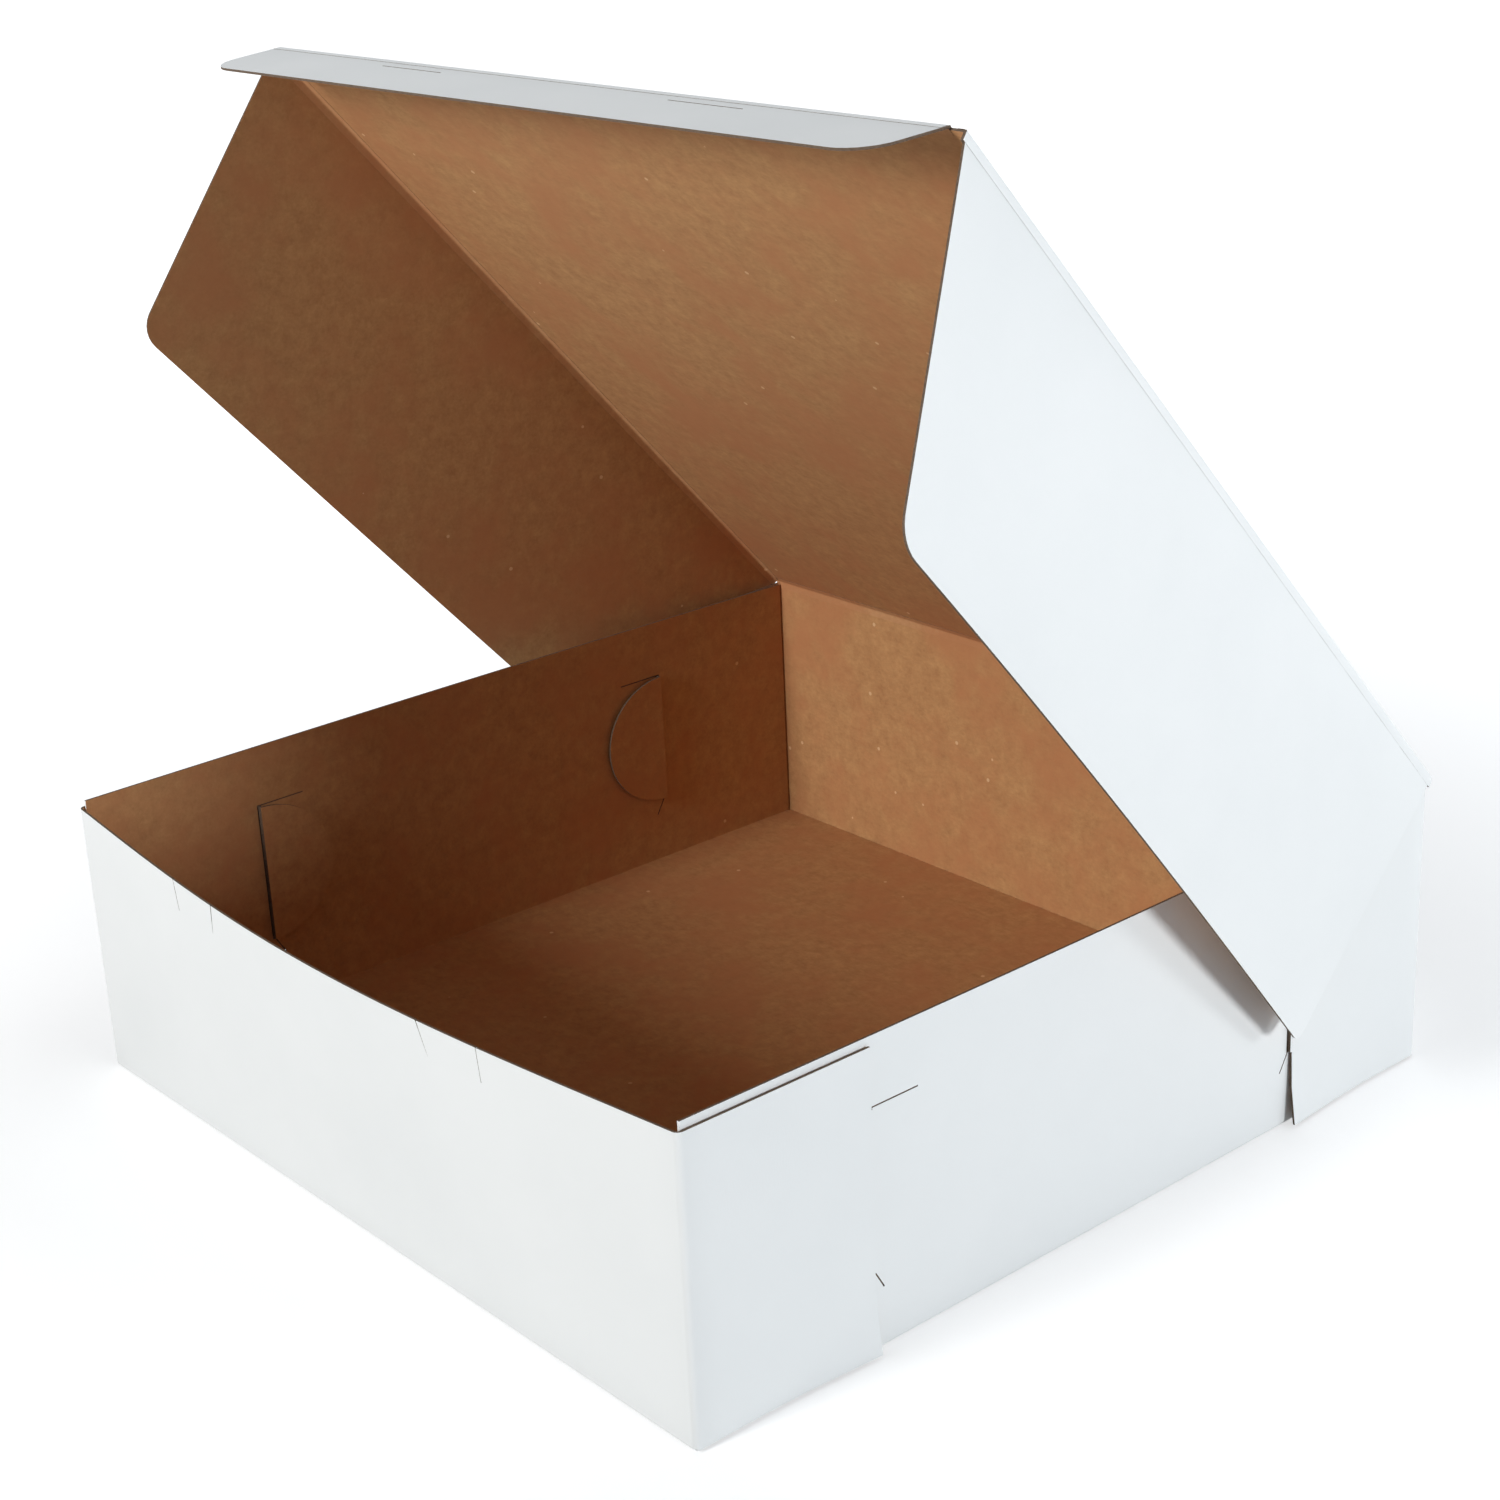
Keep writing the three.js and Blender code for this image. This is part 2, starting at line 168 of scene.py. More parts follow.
@dataclass(frozen=True)
class Shader:
    """A material's node tree with one way to add any node.

    Attributes:
        material: The material whose tree is being written.
    """

    material: bpy.types.Material

    @classmethod
    def named(cls, name: str) -> "Shader":
        """Starts a new material with an empty tree."""
        material = bpy.data.materials.new(name)
        material.use_nodes = True
        material.node_tree.nodes.clear()
        return cls(material)

    def node(self, kind: str, settings: dict[str, Any] | None = None, **sockets: Any) -> bpy.types.Node:
        """Adds a node.

        Args:
            kind: The node's type.
            settings: Attributes set before any socket, such as an operation or a ramp's stops.
            **sockets: Values or links, by socket name with underscores for spaces.

        Returns:
            The node.
        """
        made = self.material.node_tree.nodes.new(kind)
        for key, setting in (settings or {}).items():
            if key == "stops":
                self._stops(made.color_ramp, setting)
            else:
                setattr(made, key, setting)
        for name, given in sockets.items():
            slot = next(s for s in made.inputs if s.name.replace(" ", "_") == name and s.enabled)
            self._feed(slot, given)
        return made

    def _feed(self, slot: bpy.types.NodeSocket, given: Any) -> None:
        """Links a value to a socket, or sets a constant on it."""
        if isinstance(given, Value):
            self.material.node_tree.links.new(given.socket, slot)
        elif slot.type == "RGBA" and len(given) == 3:
            slot.default_value = (*given, 1.0)
        else:
            slot.default_value = given

    @staticmethod
    def _stops(ramp: bpy.types.ColorRamp, stops: Sequence[tuple[float, float]]) -> None:
        """Sets a ramp's stops as pairs of place and grey level."""
        while len(ramp.elements) < len(stops):
            ramp.elements.new(1.0)
        for element, (place, level) in zip(ramp.elements, stops):
            element.position = place
            element.color = (level, level, level, 1.0)

    def value(self, node: bpy.types.Node, output: str | int = 0) -> Value:
        """One output of a node as a value."""
        return Value(self.material.node_tree, node.outputs[output])

    def place(self, stretch: Sequence[float] = (1, 1, 1), turn: Sequence[float] = (0, 0, 0)) -> Value:
        """Object coordinates, stretched and turned."""
        where = self.value(self.node("ShaderNodeTexCoord"), "Object")
        mapping = self.node("ShaderNodeMapping", Vector=where, Scale=stretch, Rotation=turn)
        return self.value(mapping)

    def noise(self, where: Value, scale: float, detail: float = 2.0, roughness: float = 0.5) -> Value:
        """A noise between 0 and 1 at a scale in waves for each metre."""
        made = self.node("ShaderNodeTexNoise", Vector=where, Scale=scale, Detail=detail, Roughness=roughness)
        return self.value(made, 0)

    def curve(self, source: Value, stops: Sequence[tuple[float, float]]) -> Value:
        """A value passed through a ramp."""
        return self.value(self.node("ShaderNodeValToRGB", {"stops": stops}, Fac=source))

    def mixed(self, share: Any, first: Any, second: Any) -> Value:
        """A mix of two colours."""
        node = self.node("ShaderNodeMix", {"data_type": "RGBA"})
        self._feed(node.inputs["Factor"], share)
        colours = [s for s in node.inputs if s.type == "RGBA"]
        self._feed(colours[0], first)
        self._feed(colours[1], second)
        return Value(self.material.node_tree, next(s for s in node.outputs if s.type == "RGBA"))

    def bump(self, height: Value, distance: float, strength: float = 1.0) -> Value:
        """A normal from a height in metres."""
        return self.value(self.node("ShaderNodeBump", Height=height, Distance=distance, Strength=strength))

    def surface(self, shader: bpy.types.Node) -> bpy.types.Material:
        """Links a shader node to the output and returns the material."""
        out = self.node("ShaderNodeOutputMaterial")
        self.material.node_tree.links.new(shader.outputs[0], out.inputs["Surface"])
        return self.material


# Finishes.

Colour = tuple[float, float, float]


@dataclass(frozen=True)
class CoatedWhite:
    """The smooth clay coat on the outside of the board."""

    name: str = "coated_white"
    colour: Colour = (0.80, 0.82, 0.825)
    cloud: Colour = (0.775, 0.797, 0.803)
    roughness: float = 0.42
    cloud_scale: float = 28
    fibre_scale: float = 900
    fibre_height: float = 0.00002

    def make(self) -> bpy.types.Material:
        """Builds the material: nearly even white with faint clouds and a soft sheen."""
        s = Shader.named(self.name)
        clouds = s.noise(s.place(), self.cloud_scale, 3)
        fibres = s.noise(s.place((1, 3, 1)), self.fibre_scale, 3, 0.6)
        colour = s.mixed(s.curve(clouds, [(0.35, 0.0), (0.7, 1.0)]), self.colour, self.cloud)
        normal = s.bump(fibres, self.fibre_height, 0.5)
        rough = self.roughness + (clouds - 0.5) * 0.12
        return s.surface(
            s.node("ShaderNodeBsdfPrincipled", Base_Color=colour, Roughness=rough, Normal=normal)
        )


@dataclass(frozen=True)
class Kraft:
    """The uncoated brown side of the board."""

    name: str = "kraft"
    light: Colour = (0.535, 0.295, 0.124)
    dark: Colour = (0.392, 0.194, 0.078)
    red: Colour = (0.47, 0.204, 0.086)
    fleck: Colour = (0.74, 0.50, 0.28)
    fleck_spacing: float = 0.011
    fleck_radius: float = 0.045
    fleck_strength: float = 0.7
    pulp_scale: float = 320
    fibre_scale: float = 1300
    cloud_scale: float = 34
    blotch_scale: float = 120
    roughness: float = 0.86
    fibre_height: float = 0.00005

    def make(self) -> bpy.types.Material:
        """Builds the material: mottled pulp, redder clouds, fine fibres and a few pale flecks."""
        s = Shader.named(self.name)
        pulp = s.noise(s.place(), self.pulp_scale, 5, 0.68)
        fibres = s.noise(s.place((0.5, 1, 1), (0, 0, 0.1)), self.fibre_scale, 3, 0.65)
        clouds = s.noise(s.place(), self.cloud_scale, 2)
        blotches = s.noise(s.place(), self.blotch_scale, 3, 0.6)
        tone = s.curve(pulp * 0.65 + fibres * 0.35, [(0.34, 0.0), (0.66, 1.0)])
        body = s.mixed(tone, self.dark, self.light)
        redness = clouds * 0.6 + blotches * 0.4
        reddened = s.mixed(s.curve(redness, [(0.44, 0.0), (0.62, 0.75)]), body, self.red)
        cells = s.node(
            "ShaderNodeTexVoronoi", {"feature": "F1"}, Vector=s.place(), Scale=1 / self.fleck_spacing
        )
        near = s.value(cells, "Distance").below(self.fleck_radius)
        colour = s.mixed(near * self.fleck_strength, reddened, self.fleck)
        normal = s.bump(pulp * 0.5 + fibres * 0.5, self.fibre_height, 0.8)
        return s.surface(
            s.node(
                "ShaderNodeBsdfPrincipled",
                Base_Color=colour,
                Roughness=self.roughness + (fibres - 0.5) * 0.1,
                Normal=normal,
                Specular_IOR_Level=0.5,
            )
        )


@dataclass(frozen=True)
class CutEdgeAndGapShade:
    """The raw edge that a die leaves, where the board's layers show; its dark colours are partly a cut edge's
    fibre and partly painted shade for the gaps beside it.
    """

    name: str = "cut_edge"
    pale: Colour = (0.16, 0.11, 0.075)
    dark: Colour = (0.09, 0.06, 0.04)
    layer_scale: float = 2600
    layer_height: float = 0.00004

    def make(self) -> bpy.types.Material:
        """Builds the material: fine streaks of the layers."""
        s = Shader.named(self.name)
        streaks = s.noise(s.place(), self.layer_scale, 3, 0.7)
        colour = s.mixed(s.curve(streaks, [(0.35, 0.0), (0.65, 1.0)]), self.dark, self.pale)
        normal = s.bump(streaks, self.layer_height, 0.6)
        return s.surface(
            s.node("ShaderNodeBsdfPrincipled", Base_Color=colour, Roughness=0.9, Normal=normal)
        )


@dataclass(frozen=True)
class Finishes:
    """The board's finishes: one for each Face, and the kraft inside the creases."""

    outside: bpy.types.Material
    inside: bpy.types.Material
    # The cut finish is partly painted shade: dark for the gaps at slits and tab rims.
    cut: bpy.types.Material
    crease: bpy.types.Material

    @classmethod
    def make(cls) -> "Finishes":
        """Builds each finish once."""
        crease = Kraft("kraft_crease", light=(0.54, 0.298, 0.14), dark=(0.44, 0.216, 0.092))
        return cls(CoatedWhite().make(), Kraft().make(), CutEdgeAndGapShade().make(), crease.make())

    def board(self) -> list[bpy.types.Material]:
        """The materials of a panel."""
        return [self.outside, self.inside, self.cut]

    def fold(self) -> list[bpy.types.Material]:
        """The materials of a crease."""
        return [self.outside, self.crease, self.cut]


# Panels.


@dataclass
class Panel:
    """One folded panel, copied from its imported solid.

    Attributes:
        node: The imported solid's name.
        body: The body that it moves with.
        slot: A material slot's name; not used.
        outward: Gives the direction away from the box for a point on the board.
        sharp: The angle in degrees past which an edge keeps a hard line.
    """

    node: str
    body: str
    slot: str
    outward: Callable[[Vector], Vector]
    sharp: float = 32.0

    def build(self, finishes: Finishes) -> bpy.types.Object:
        """Copies the solid, sorts its faces and dresses them.

        Args:
            finishes: The board's finishes.

        Returns:
            The dressed panel, riding on its body.
        """
        mesh = bpy.data.meshes.new(self.node + "_board")
        shape = bmesh.new()
        shape.from_mesh(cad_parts[self.node].data)
        bmesh.ops.remove_doubles(shape, verts=shape.verts, dist=0.004 * MM)
        bmesh.ops.dissolve_degenerate(shape, edges=shape.edges, dist=0.001 * MM)
        shape.normal_update()
        for face in shape.faces:
            point = face.calc_center_median()
            face.smooth = not self.is_flat(point)
            face.material_index = self.side_of(face.normal, point).value
        shape.to_mesh(mesh)
        shape.free()
        stored = mesh.attributes.get("custom_normal")
        if stored:
            mesh.attributes.remove(stored)
        for material in finishes.board():
            mesh.materials.append(material)
        mesh.set_sharp_from_angle(angle=math.radians(self.sharp))
        made = bpy.data.objects.new(self.node + "_board", mesh)
        bpy.context.scene.collection.objects.link(made)
        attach(made, self.body)
        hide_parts(self.node)
        return made

    def is_flat(self, point: Vector) -> bool:
        """Whether the board is flat at a point, so that its faces keep their own normals."""
        return False

    def side_of(self, normal: Vector, point: Vector) -> Face:
        """Sorts a face by how far its normal points away from the box."""
        facing = normal.dot(self.outward(point))
        if facing > FACING:
            return Face.OUTSIDE
        if facing < -FACING:
            return Face.INSIDE
        return Face.CUT


@dataclass
class Tray(Panel):
    """The base: bottom, four walls and the locked corner flaps, folded from one piece.

    Attributes:
        half_size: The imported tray's highest x and y, in metres.
        fold_top: Where the folds round the bottom end, above the table.
        bottom_margin: How far the bottom's inside face ends short of the side walls' outside.
        side_layers: How deep the side wall, its corner flap and the lock tab lie.
        corner_margin: How much deeper than its bend an upright corner starts, in x.
        front_layer: How deep the front and back walls lie.
        lock_reach: How far a lock tab reaches from its slit.
        lock_bend: How far the tab's bend reaches from the slit.
        lock_depths: How deep a lock tab lies, from its outer to its inner face.
        lock_heights: The lowest and highest a lock tab reaches.
    """

    node: str = "base_tray"
    body: str = "tray"
    slot: str = "tray_board"
    outward: Callable[[Vector], Vector] = field(default=lambda point: Vector(point))
    half_size: tuple[float, float] = field(default_factory=lambda: tuple(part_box("base_tray")[1][:2]))
    fold_top: float = 1.15 * FOLD_RADIUS * MM
    bottom_margin: float = 2 * MM
    corner_margin: float = 1.75 * MM
    side_layers: float = 4.5 * MM
    front_layer: float = 0.9 * MM
    lock_reach: float = 19 * MM
    lock_bend: float = 1.5 * MM
    lock_depths: tuple[float, float] = (2.95 * MM, 4.5 * MM)
    lock_heights: tuple[float, float] = (15 * MM, 52 * MM)

    def side_of(self, normal: Vector, point: Vector) -> Face:
        """Sorts a face by the wall, corner or bottom that it lies on."""
        half_x, half_y = self.half_size
        bend = (CORNER_RADIUS + 0.1) * MM
        if point.z < self.fold_top:
            if normal.z < -0.2:
                return Face.OUTSIDE
            if normal.z > FACING and abs(point.x) < half_x - self.bottom_margin:
                return Face.INSIDE
        # Painted shade: the lock tabs' bends in the slits take the dark cut finish to show the gap's shadow,
        # and their rims take it as cut edges darkened by painted shade.
        if self.in_lock(point) and abs(normal.x) < FACING:
            return Face.CUT
        if abs(normal.z) > FACING:
            return Face.CUT
        corner_x = abs(point.x) > half_x - self.corner_margin - bend
        corner_y = abs(point.y) > half_y - bend
        if corner_x and corner_y:
            outward = Vector((point.x, point.y, 0)).normalized()
            return Face.OUTSIDE if normal.dot(outward) > 0 else Face.INSIDE
        if abs(point.x) > half_x - self.side_layers and not abs(point.y) > half_y - self.front_layer:
            outward = Vector((math.copysign(1, point.x), 0, 0))
        else:
            outward = Vector((0, math.copysign(1, point.y), 0))
        facing = normal.dot(outward)
        if abs(facing) < FACING:
            return Face.CUT
        return Face.OUTSIDE if facing > 0 else Face.INSIDE

    def is_flat(self, point: Vector) -> bool:
        """The lock tabs are flat."""
        return self.in_lock(point)

    def in_lock(self, point: Vector) -> bool:
        """Whether a point is on a lock tab, inside the side wall, or on its bend in the wall's slit."""
        depth = self.half_size[0] - abs(point.x)
        along = abs(abs(point.y) - FLAP_END * MM)
        nearest, deepest = self.lock_depths
        lowest, highest = self.lock_heights
        bend = along < self.lock_bend and depth < deepest
        tab = along < self.lock_reach and nearest < depth < deepest
        return (bend or tab) and lowest < point.z < highest


@dataclass
class CutLiningsAndSlitShade:
    """Linings in the fine cuts beside each lock tab and latch tab, inside the walls' board; those in the side
    walls are dark, painted shade for the slits.

    Attributes:
        arm: How far the cut runs back from the slit's top.
        tail: How far it curls on below the slit.
        low: The slit's lower end.
        high: The slit's upper end.
        thickness: Of a lining in a side wall.
        latch: The middle of a latch tab, from the middle of the front wall.
        latch_half: Half of a latch tab's width.
        latch_slant: How far the cut nearer the middle slants over its depth.
        latch_depth: How far a latch lining reaches down.
        latch_size: Width and thickness of a latch lining.
        past_slit: How far a lining runs past the slit.
        past_arm: How far it runs past the arm's end.
        arm_heights: Its lower and upper edge, from the slit's upper end.
        tail_back: How far the tail's lining runs back from the slit.
        tail_over: How far it runs up over the slit's lower end.
    """

    arm: float = 12.0
    tail: float = 4.5
    low: float = 17.0
    high: float = 50.0
    thickness: float = 0.2
    latch: float = 44.5
    latch_half: float = 8.0
    latch_slant: float = 2.0
    latch_depth: float = 7.8
    latch_size: tuple[float, float] = (0.5, 0.36)
    past_slit: float = 0.9
    past_arm: float = 1.0
    arm_heights: tuple[float, float] = (-0.7, 1.3)
    tail_back: float = 2.6
    tail_over: float = 0.4

    def build(self, finishes: Finishes) -> bpy.types.Object:
        """Builds thin bars inside both side walls and in the front wall's latch cuts.

        Args:
            finishes: The board's finishes.

        Returns:
            The linings as one piece.
        """
        shape = bmesh.new()
        for side in (-1, 1):
            for end in (-1, 1):
                past = FLAP_END + self.past_slit
                arm = (FLAP_END - self.arm - self.past_arm, past)
                tail = (FLAP_END - self.tail_back, past)
                arm_up = (self.high + self.arm_heights[0], self.high + self.arm_heights[1])
                self.bar(shape, side, end, arm, arm_up)
                self.bar(shape, side, end, tail, (self.low - self.tail, self.low + self.tail_over))
        cuts = ((self.latch + self.latch_half, 0.0), (self.latch - self.latch_half, self.latch_slant))
        for x, slant in cuts:
            for side in (-1, 1):
                self.latch_bar(shape, side * x, -side * math.atan2(slant, self.latch_depth))
        mesh = bpy.data.meshes.new("cut_linings")
        shape.to_mesh(mesh)
        shape.free()
        for material in finishes.board():
            mesh.materials.append(material)
        # The side walls' linings take the dark cut finish as painted shade, so each slit shows as a fine dark
        # line; the front wall's latch linings stay white.
        for face in mesh.polygons:
            on_front = face.center.y < -(BOX_DEPTH / 2 - 2) * MM
            face.material_index = (Face.OUTSIDE if on_front else Face.CUT).value
        made = bpy.data.objects.new("cut_linings", mesh)
        bpy.context.scene.collection.objects.link(made)
        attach(made, "tray")
        return made

    def bar(
        self,
        shape: bmesh.types.BMesh,
        side: int,
        end: int,
        along: tuple[float, float],
        up: tuple[float, float],
    ) -> None:
        """Adds one upright bar in the middle of a side wall's board."""
        y = sum(along) / 2 * end
        z = sum(up) / 2
        bow = SIDE_WALL_BOW * math.cos(math.pi * y / BOX_DEPTH) * z / SIDE_WALL_HEIGHT
        size = Vector((self.thickness, along[1] - along[0], up[1] - up[0])) * MM
        place = Matrix.Translation(Vector(((SIDE_WALL_MIDDLE + bow) * side, y, z)) * MM)
        bmesh.ops.create_cube(shape, size=1.0, matrix=place @ Matrix.Diagonal((*size, 1.0)))

    def latch_bar(self, shape: bmesh.types.BMesh, x: float, slant: float) -> None:
        """Adds one bar in a cut of the bowed front wall, a little short of its top edge."""
        bow = FRONT_WALL_BOW * math.cos(math.pi * x / BOX_WIDTH)
        top = math.sqrt(FRONT_WALL_HEIGHT**2 - bow**2)
        lean = math.atan2(bow, top)
        middle = top - self.latch_depth / 2 + 0.2
        y = -(BOX_DEPTH - BOARD) / 2 - bow * middle / top
        size = Vector((*self.latch_size, self.latch_depth - 0.6)) * MM
        turn = Matrix.Rotation(lean, 4, "X") @ Matrix.Rotation(slant, 4, "Y")
        place = Matrix.Translation(Vector((x, y, middle)) * MM) @ turn
        bmesh.ops.create_cube(shape, size=1.0, matrix=place @ Matrix.Diagonal((*size, 1.0)))


def straight(direction: Vector) -> Callable[[Vector], Vector]:
    """The same outward direction everywhere."""
    return lambda point: direction


# Creases.


@dataclass
class FoldStrip:
    """The rounded crease between two panels, made by Geometry Nodes.

    Attributes:
        name: The piece's name.
        bodies: The body before the fold and the body after it; not used.
        slot: A material slot's name; not used.
        start: One end of the fold's line.
        end: The other end.
        before: The direction in the first panel that points to the fold.
        outside: The direction away from the box on the first panel.
        bends: The fold's angle at its start, at its end, and what its middle adds.
        reach: How far the strip covers each panel.
        radius: The middle of the board's radius in the fold.
        skin: How much thicker than the board the strip is on each face.
        stations: Points along the fold.
        across: Points across it.
    """

    name: str
    bodies: tuple[str, str]
    slot: str
    start: Vector
    end: Vector
    before: Vector
    outside: Vector
    bends: tuple[float, float, float]
    reach: float = 1.8
    radius: float = 0.75
    skin: float = 0.05
    stations: int = 41
    across: int = 15

    def build(self, finishes: Finishes) -> bpy.types.Object:
        """Runs the strip's tree and gives it the board's thickness.

        Args:
            finishes: The board's finishes.

        Returns:
            The crease as a plain mesh.
        """
        carrier = bpy.data.objects.new(self.name + "_carrier", bpy.data.meshes.new(self.name + "_carrier"))
        bpy.context.scene.collection.objects.link(carrier)
        tree = fold_tree(finishes.outside)
        modifier = carrier.modifiers.new("fold", "NODES")
        modifier.node_group = tree
        inputs = {
            "Stations": self.stations,
            "Across": self.across,
            "Start": self.start,
            "End": self.end,
            "Before": self.before.normalized(),
            "Outside": self.outside.normalized(),
            "Start Bend": math.radians(self.bends[0]),
            "End Bend": math.radians(self.bends[1]),
            "Belly": math.radians(self.bends[2]),
            "Reach": self.reach * MM,
            "Radius": self.radius * MM,
        }
        for item in tree.interface.items_tree:
            if item.in_out == "INPUT" and item.name in inputs:
                modifier[item.identifier] = inputs[item.name]
        shell = carrier.modifiers.new("board", "SOLIDIFY")
        shell.thickness = (BOARD + 2 * self.skin) * MM
        shell.offset = 0
        graph = bpy.context.evaluated_depsgraph_get()
        mesh = bpy.data.meshes.new_from_object(carrier.evaluated_get(graph))
        bpy.data.objects.remove(carrier)
        mesh.name = self.name
        mesh.materials.clear()
        for material in finishes.fold():
            mesh.materials.append(material)
        half = math.radians((self.bends[0] + self.bends[1]) / 4)
        outward = self.outside * math.cos(half) + self.before * math.sin(half)
        broad = 2 * (self.stations - 1) * (self.across - 1)
        for face in mesh.polygons:
            face.use_smooth = True
            side = Face.OUTSIDE if face.normal.dot(outward) > 0 else Face.INSIDE
            face.material_index = side.value if face.index < broad else Face.CUT.value
        mesh.set_sharp_from_angle(angle=math.radians(40))
        made = bpy.data.objects.new(self.name, mesh)
        bpy.context.scene.collection.objects.link(made)
        middle = (self.start + self.end) / 2
        angle = math.radians((self.bends[0] + self.bends[1]) / 2 + self.bends[2] / 2)
        after = self.before * math.cos(angle) - self.outside * math.sin(angle)
        spread = 0.8 * self.reach * MM
        middle - self.before * spread
        middle + after * spread
        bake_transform(made)
        return made


def fold_tree(material: bpy.types.Material) -> bpy.types.NodeTree:
    """Builds the tree that lays a rounded strip along a fold.

    A grid's first direction runs along the fold. Its second crosses it: straight, round the bend, straight.

    Args:
        material: The strip's first material.

    Returns:
        The tree, with a named input for each size.
    """
    tree = bpy.data.node_groups.new("fold_strip", "GeometryNodeTree")
    kinds = {
        "Stations": "NodeSocketInt",
        "Across": "NodeSocketInt",
        "Start": "NodeSocketVector",
        "End": "NodeSocketVector",
        "Before": "NodeSocketVector",
        "Outside": "NodeSocketVector",
        "Start Bend": "NodeSocketFloat",
        "End Bend": "NodeSocketFloat",
        "Belly": "NodeSocketFloat",
        "Reach": "NodeSocketFloat",
        "Radius": "NodeSocketFloat",
    }
    tree.interface.new_socket("Geometry", in_out="OUTPUT", socket_type="NodeSocketGeometry")
    for name, kind in kinds.items():
        tree.interface.new_socket(name, in_out="INPUT", socket_type=kind)
    given = tree.nodes.new("NodeGroupInput")

    def number(name: str) -> Value:
        """One of the tree's inputs."""
        return Value(tree, given.outputs[name])

    def vector(operation: str, first: Any, second: Any) -> Value:
        """A Vector Math node on two vectors, or on a vector and a scale."""
        node = tree.nodes.new("ShaderNodeVectorMath")
        node.operation = operation
        tree.links.new(first.socket, node.inputs[0])
        slot = node.inputs["Scale"] if operation == "SCALE" else node.inputs[1]
        tree.links.new(second.socket, slot)
        return Value(tree, node.outputs[0])

    def wave(operation: str, angle: Value) -> Value:
        """The sine or cosine of an angle."""
        node = tree.nodes.new("ShaderNodeMath")
        node.operation = operation
        tree.links.new(angle.socket, node.inputs[0])
        return Value(tree, node.outputs[0])

    grid = tree.nodes.new("GeometryNodeMeshGrid")
    grid.inputs["Size X"].default_value = 1.0
    grid.inputs["Size Y"].default_value = 1.0
    tree.links.new(number("Stations").socket, grid.inputs["Vertices X"])
    tree.links.new(number("Across").socket, grid.inputs["Vertices Y"])
    split = tree.nodes.new("ShaderNodeSeparateXYZ")
    tree.links.new(tree.nodes.new("GeometryNodeInputPosition").outputs[0], split.inputs[0])
    along = Value(tree, split.outputs[0]) + 0.5
    across = Value(tree, split.outputs[1]) * 2.0
    belly = along * (1.0 - along) * number("Belly") * 4.0
    bend = number("Start Bend") + along * (number("End Bend") - number("Start Bend")) + belly
    half = bend * 0.5
    run = across * number("Reach")
    turned = number("Radius") * half
    inside = run.larger(turned * -1.0).smaller(turned)
    angle = inside / number("Radius")
    rest = run - inside
    forward = number("Radius") * wave("SINE", angle) + rest * wave("COSINE", angle)
    drop = number("Radius") * (wave("COSINE", angle) - 1.0) - rest * wave("SINE", angle)
    sink = number("Radius") * (1.0 / wave("COSINE", half) - 1.0)
    depth = drop - sink
    tangent = vector(
        "SUBTRACT",
        vector("SCALE", number("Before"), wave("COSINE", half)),
        vector("SCALE", number("Outside"), wave("SINE", half)),
    )
    normal = vector(
        "ADD",
        vector("SCALE", number("Outside"), wave("COSINE", half)),
        vector("SCALE", number("Before"), wave("SINE", half)),
    )
    whole = vector("SUBTRACT", number("End"), number("Start"))
    line = vector("ADD", number("Start"), vector("SCALE", whole, along))
    shift = vector("ADD", vector("SCALE", tangent, forward), vector("SCALE", normal, depth))
    place = vector("ADD", line, shift)
    moved = tree.nodes.new("GeometryNodeSetPosition")
    tree.links.new(grid.outputs["Mesh"], moved.inputs["Geometry"])
    tree.links.new(place.socket, moved.inputs["Position"])
    real = tree.nodes.new("GeometryNodeRealizeInstances")
    tree.links.new(moved.outputs[0], real.inputs[0])
    painted = tree.nodes.new("GeometryNodeSetMaterial")
    painted.inputs["Material"].default_value = material
    tree.links.new(real.outputs[0], painted.inputs["Geometry"])
    out = tree.nodes.new("NodeGroupOutput")
    tree.links.new(painted.outputs[0], out.inputs[0])
    return tree


